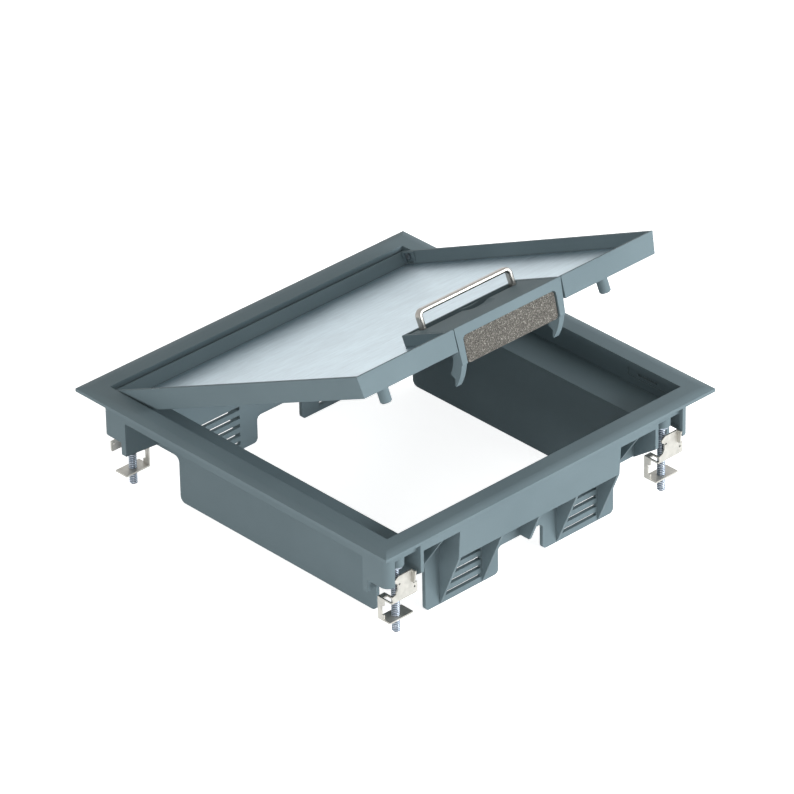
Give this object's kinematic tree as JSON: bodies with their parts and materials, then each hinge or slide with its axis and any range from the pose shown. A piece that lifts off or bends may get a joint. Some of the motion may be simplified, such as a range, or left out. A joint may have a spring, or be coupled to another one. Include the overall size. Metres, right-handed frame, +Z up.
{
  "type": "floor service outlet",
  "caption": "Square floor service outlet: trim frame with louvred well, tilting lid with steel infill, cord flap with lift bail, and screw clamps.",
  "frame": {"origin": "centre of the floor cut-out, in the plane of the flange's underside", "axes": "+Z up, +Y towards the lid's hinge side, -Y towards the cord outlet, +X right seen from the outlet side"},
  "size_m": [0.264, 0.264, 0.1691],
  "materials": {
    "frame_plastic": "matte",
    "lid_plastic": "matte",
    "plate_steel": "brushed",
    "foam": "speckled",
    "bail_steel": "polished",
    "clamp_steel": "satin",
    "screw_steel": "zinc plated",
    "pin_steel": "plain"
  },
  "bodies": {
    "frame": {"frame": "frame_plastic", "lid_hinge_pins": "pin_steel"},
    "lid": {"lid_tray": "lid_plastic", "lid_plate": "plate_steel", "lid_stop_pegs": "lid_plastic", "outlet_pivot_pins": "pin_steel"},
    "outlet": {"cord_outlet": "lid_plastic", "outlet_foam": "foam"},
    "handle": {"lift_handle": "bail_steel", "handle_clips": "pin_steel"},
    "screw_fl": {"screw_fl": "screw_steel", "screw_washer_fl": "screw_steel"},
    "clamp_fl": {"clamp_fl": "clamp_steel"},
    "screw_fr": {"screw_fr": "screw_steel", "screw_washer_fr": "screw_steel"},
    "clamp_fr": {"clamp_fr": "clamp_steel"},
    "screw_rl": {"screw_rl": "screw_steel", "screw_washer_rl": "screw_steel"},
    "clamp_rl": {"clamp_rl": "clamp_steel"},
    "screw_rr": {"screw_rr": "screw_steel", "screw_washer_rr": "screw_steel"},
    "clamp_rr": {"clamp_rr": "clamp_steel"}
  },
  "joints": [
    {"name": "lid_hinge", "type": "hinge", "parent": "frame", "child": "lid", "pos_m": [0, 0.1095, 0.0003], "axis": [-1, 0, 0], "range_deg": [-25, 75]},
    {"name": "outlet_hinge", "type": "hinge", "parent": "lid", "child": "outlet", "pos_m": [0, -0.06202, 0.07851], "axis": [-1, 0, 0], "range_deg": [0, 35]},
    {"name": "handle_slide", "type": "slide", "parent": "outlet", "child": "handle", "axis": [0, 0.4226, 0.9063], "range_m": [-0.0117, 0]},
    {"name": "screw_turn_fl", "type": "hinge", "parent": "frame", "child": "screw_fl", "pos_m": [-0.1072, -0.1124, -0.03], "axis": [0, 0, -1], "range_deg": [-1730, 1010]},
    {"name": "clamp_slide_fl", "type": "slide", "parent": "frame", "child": "clamp_fl", "axis": [0, 0, 1], "range_m": [-0.006, 0.0035]},
    {"name": "screw_turn_fr", "type": "hinge", "parent": "frame", "child": "screw_fr", "pos_m": [0.1072, -0.1124, -0.03], "axis": [0, 0, -1], "range_deg": [-1730, 1010]},
    {"name": "clamp_slide_fr", "type": "slide", "parent": "frame", "child": "clamp_fr", "axis": [0, 0, 1], "range_m": [-0.006, 0.0035]},
    {"name": "screw_turn_rl", "type": "hinge", "parent": "frame", "child": "screw_rl", "pos_m": [-0.1072, 0.1124, -0.03], "axis": [0, 0, -1], "range_deg": [-1730, 1010]},
    {"name": "clamp_slide_rl", "type": "slide", "parent": "frame", "child": "clamp_rl", "axis": [0, 0, 1], "range_m": [-0.006, 0.0035]},
    {"name": "screw_turn_rr", "type": "hinge", "parent": "frame", "child": "screw_rr", "pos_m": [0.1072, 0.1124, -0.03], "axis": [0, 0, -1], "range_deg": [-1730, 1010]},
    {"name": "clamp_slide_rr", "type": "slide", "parent": "frame", "child": "clamp_rr", "axis": [0, 0, 1], "range_m": [-0.006, 0.0035]}
  ],
  "couplings": [
    {"joint": "screw_turn_fl", "follows": "clamp_slide_fl", "rad_per_m": 5026.5},
    {"joint": "screw_turn_fr", "follows": "clamp_slide_fr", "rad_per_m": 5026.5},
    {"joint": "screw_turn_rl", "follows": "clamp_slide_rl", "rad_per_m": 5026.5},
    {"joint": "screw_turn_rr", "follows": "clamp_slide_rr", "rad_per_m": 5026.5}
  ]
}
